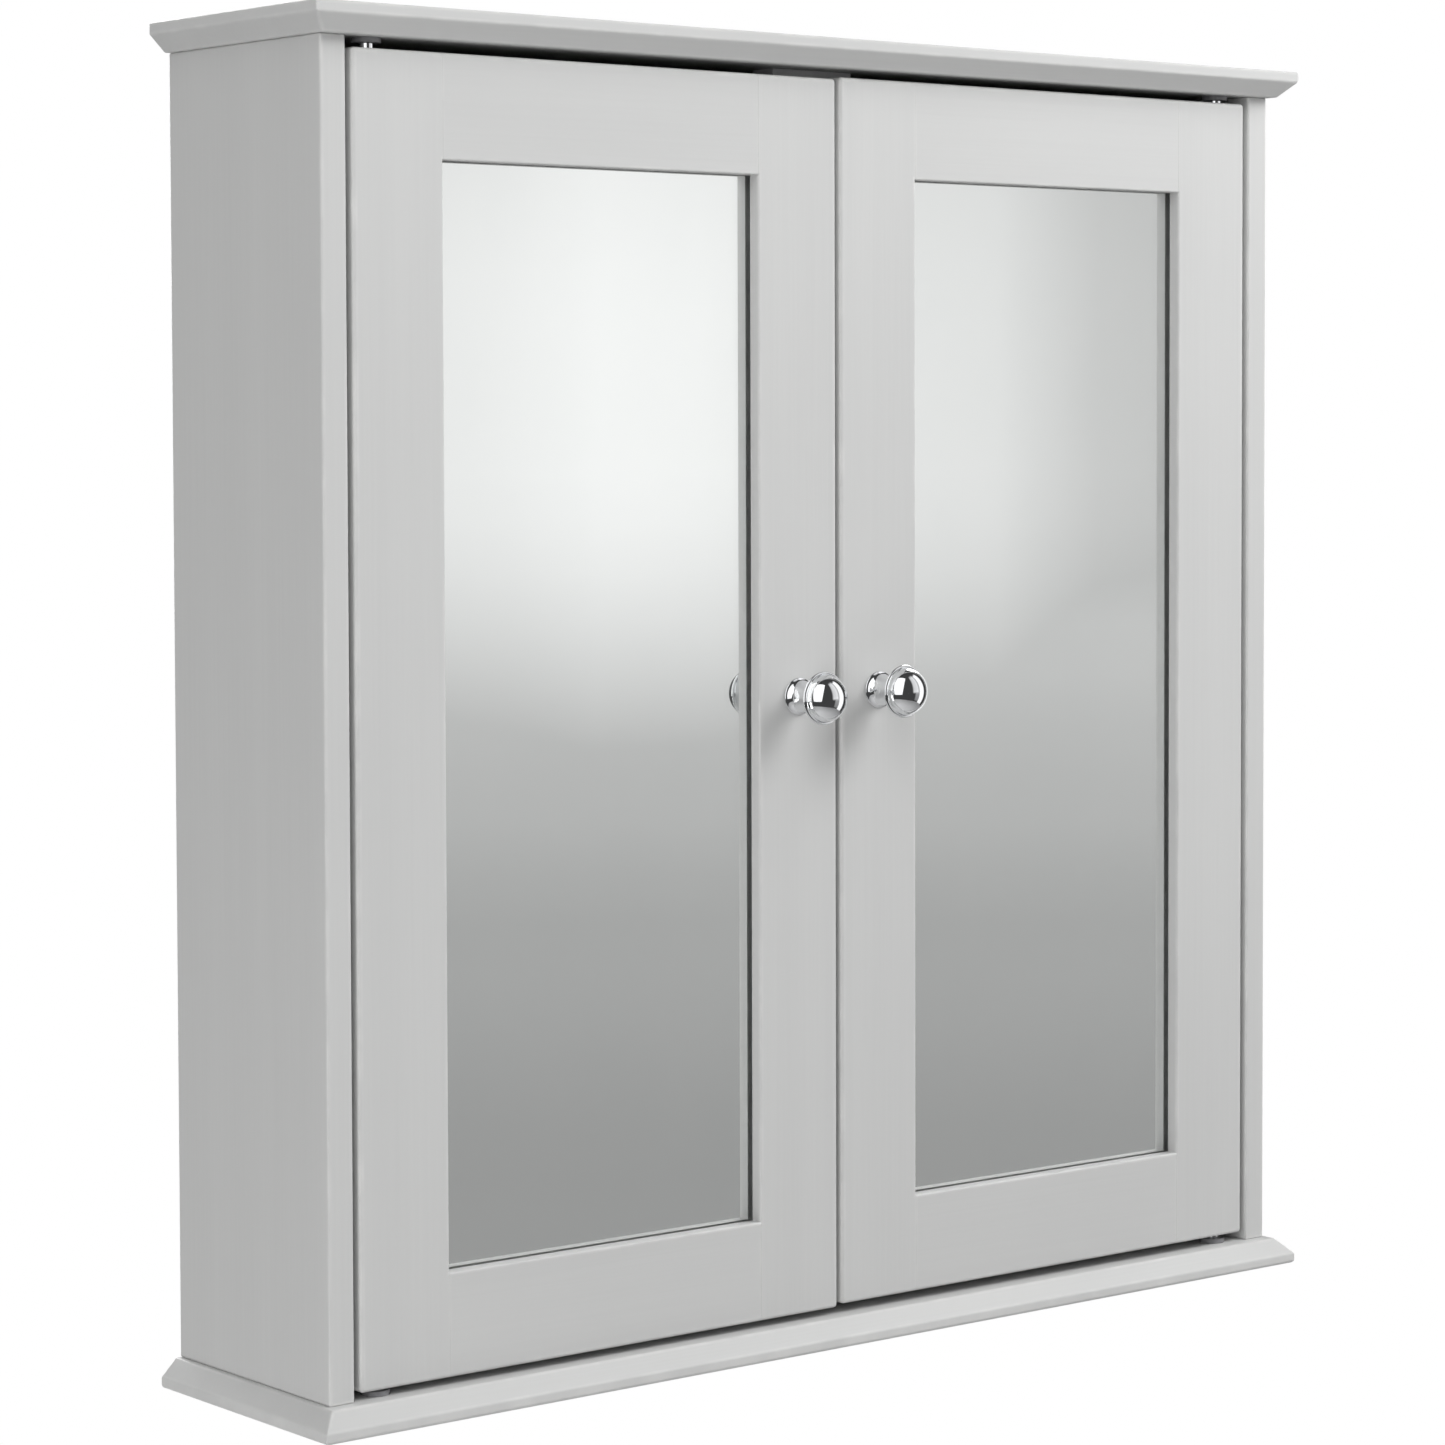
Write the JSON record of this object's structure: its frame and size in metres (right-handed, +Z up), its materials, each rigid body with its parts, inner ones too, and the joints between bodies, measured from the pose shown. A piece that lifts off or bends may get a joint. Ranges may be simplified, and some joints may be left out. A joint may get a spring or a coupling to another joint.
{
  "type": "mirrored wall cabinet",
  "caption": "Shallow hanging wall cabinet with bevelled crown and base boards, inset framed mirror doors on pivot pins, turned knobs, adjustable shelves and a magnetic catch.",
  "frame": {"origin": "middle of the row of two wall screw holes, on the wall plane", "axes": "+X to the right seen from the front, +Y into the wall, +Z up; the doors face -Y"},
  "size_m": [0.56, 0.1445, 0.58],
  "materials": {
    "painted_board": "satin dove grey paint on fibreboard, fine vertical brush texture",
    "hardboard": "plain brown hardboard, smooth face",
    "beech": "raw beech",
    "steel": "bright zinc plated steel",
    "zinc": "dull die-cast zinc",
    "chrome": "polished chrome plate",
    "grey_plastic": "moulded mid grey plastic",
    "magnet": "dark sintered magnet",
    "mirror_glass": "clear float glass, faint green edge",
    "silvering": "silvered mirror coating"
  },
  "bodies": {
    "carcase": {"crown": "painted_board", "base": "painted_board", "side_left": "painted_board", "side_right": "painted_board", "back_panel": "hardboard", "panel_pins": "steel", "hanging_rail": "painted_board", "shelf_upper": "painted_board", "shelf_lower": "painted_board", "shelf_pins": "steel", "carcase_dowels": "beech", "cams": "zinc", "cam_bolts": "steel", "pivot_bushes": "grey_plastic", "catch_body": "grey_plastic", "catch_magnets": "magnet", "catch_pole_plates": "steel", "catch_screws": "steel"},
    "left_door": {"left_hinge_stile": "painted_board", "left_latch_stile": "painted_board", "left_top_rail": "painted_board", "left_bottom_rail": "painted_board", "left_frame_dowels": "beech", "left_mirror_glass": "mirror_glass", "left_mirror_silver": "silvering", "left_mirror_backing": "hardboard", "left_mirror_clips": "zinc", "left_clip_screws": "steel", "left_knob": "chrome", "left_knob_screw": "steel", "left_strike_plate": "steel", "left_strike_screw": "steel", "left_door_bushes": "grey_plastic", "left_pivot_pins": "chrome"},
    "right_door": {"right_hinge_stile": "painted_board", "right_latch_stile": "painted_board", "right_top_rail": "painted_board", "right_bottom_rail": "painted_board", "right_frame_dowels": "beech", "right_mirror_glass": "mirror_glass", "right_mirror_silver": "silvering", "right_mirror_backing": "hardboard", "right_mirror_clips": "zinc", "right_clip_screws": "steel", "right_knob": "chrome", "right_knob_screw": "steel", "right_strike_plate": "steel", "right_strike_screw": "steel", "right_door_bushes": "grey_plastic", "right_pivot_pins": "chrome"}
  },
  "joints": [
    {"name": "left_door_hinge", "type": "hinge", "parent": "carcase", "child": "left_door", "pos_m": [-0.2433, -0.1095, -0.25], "axis": [0, 0, -1], "range_deg": [0, 110]},
    {"name": "right_door_hinge", "type": "hinge", "parent": "carcase", "child": "right_door", "pos_m": [0.2433, -0.1095, -0.25], "axis": [0, 0, 1], "range_deg": [0, 110]}
  ]
}
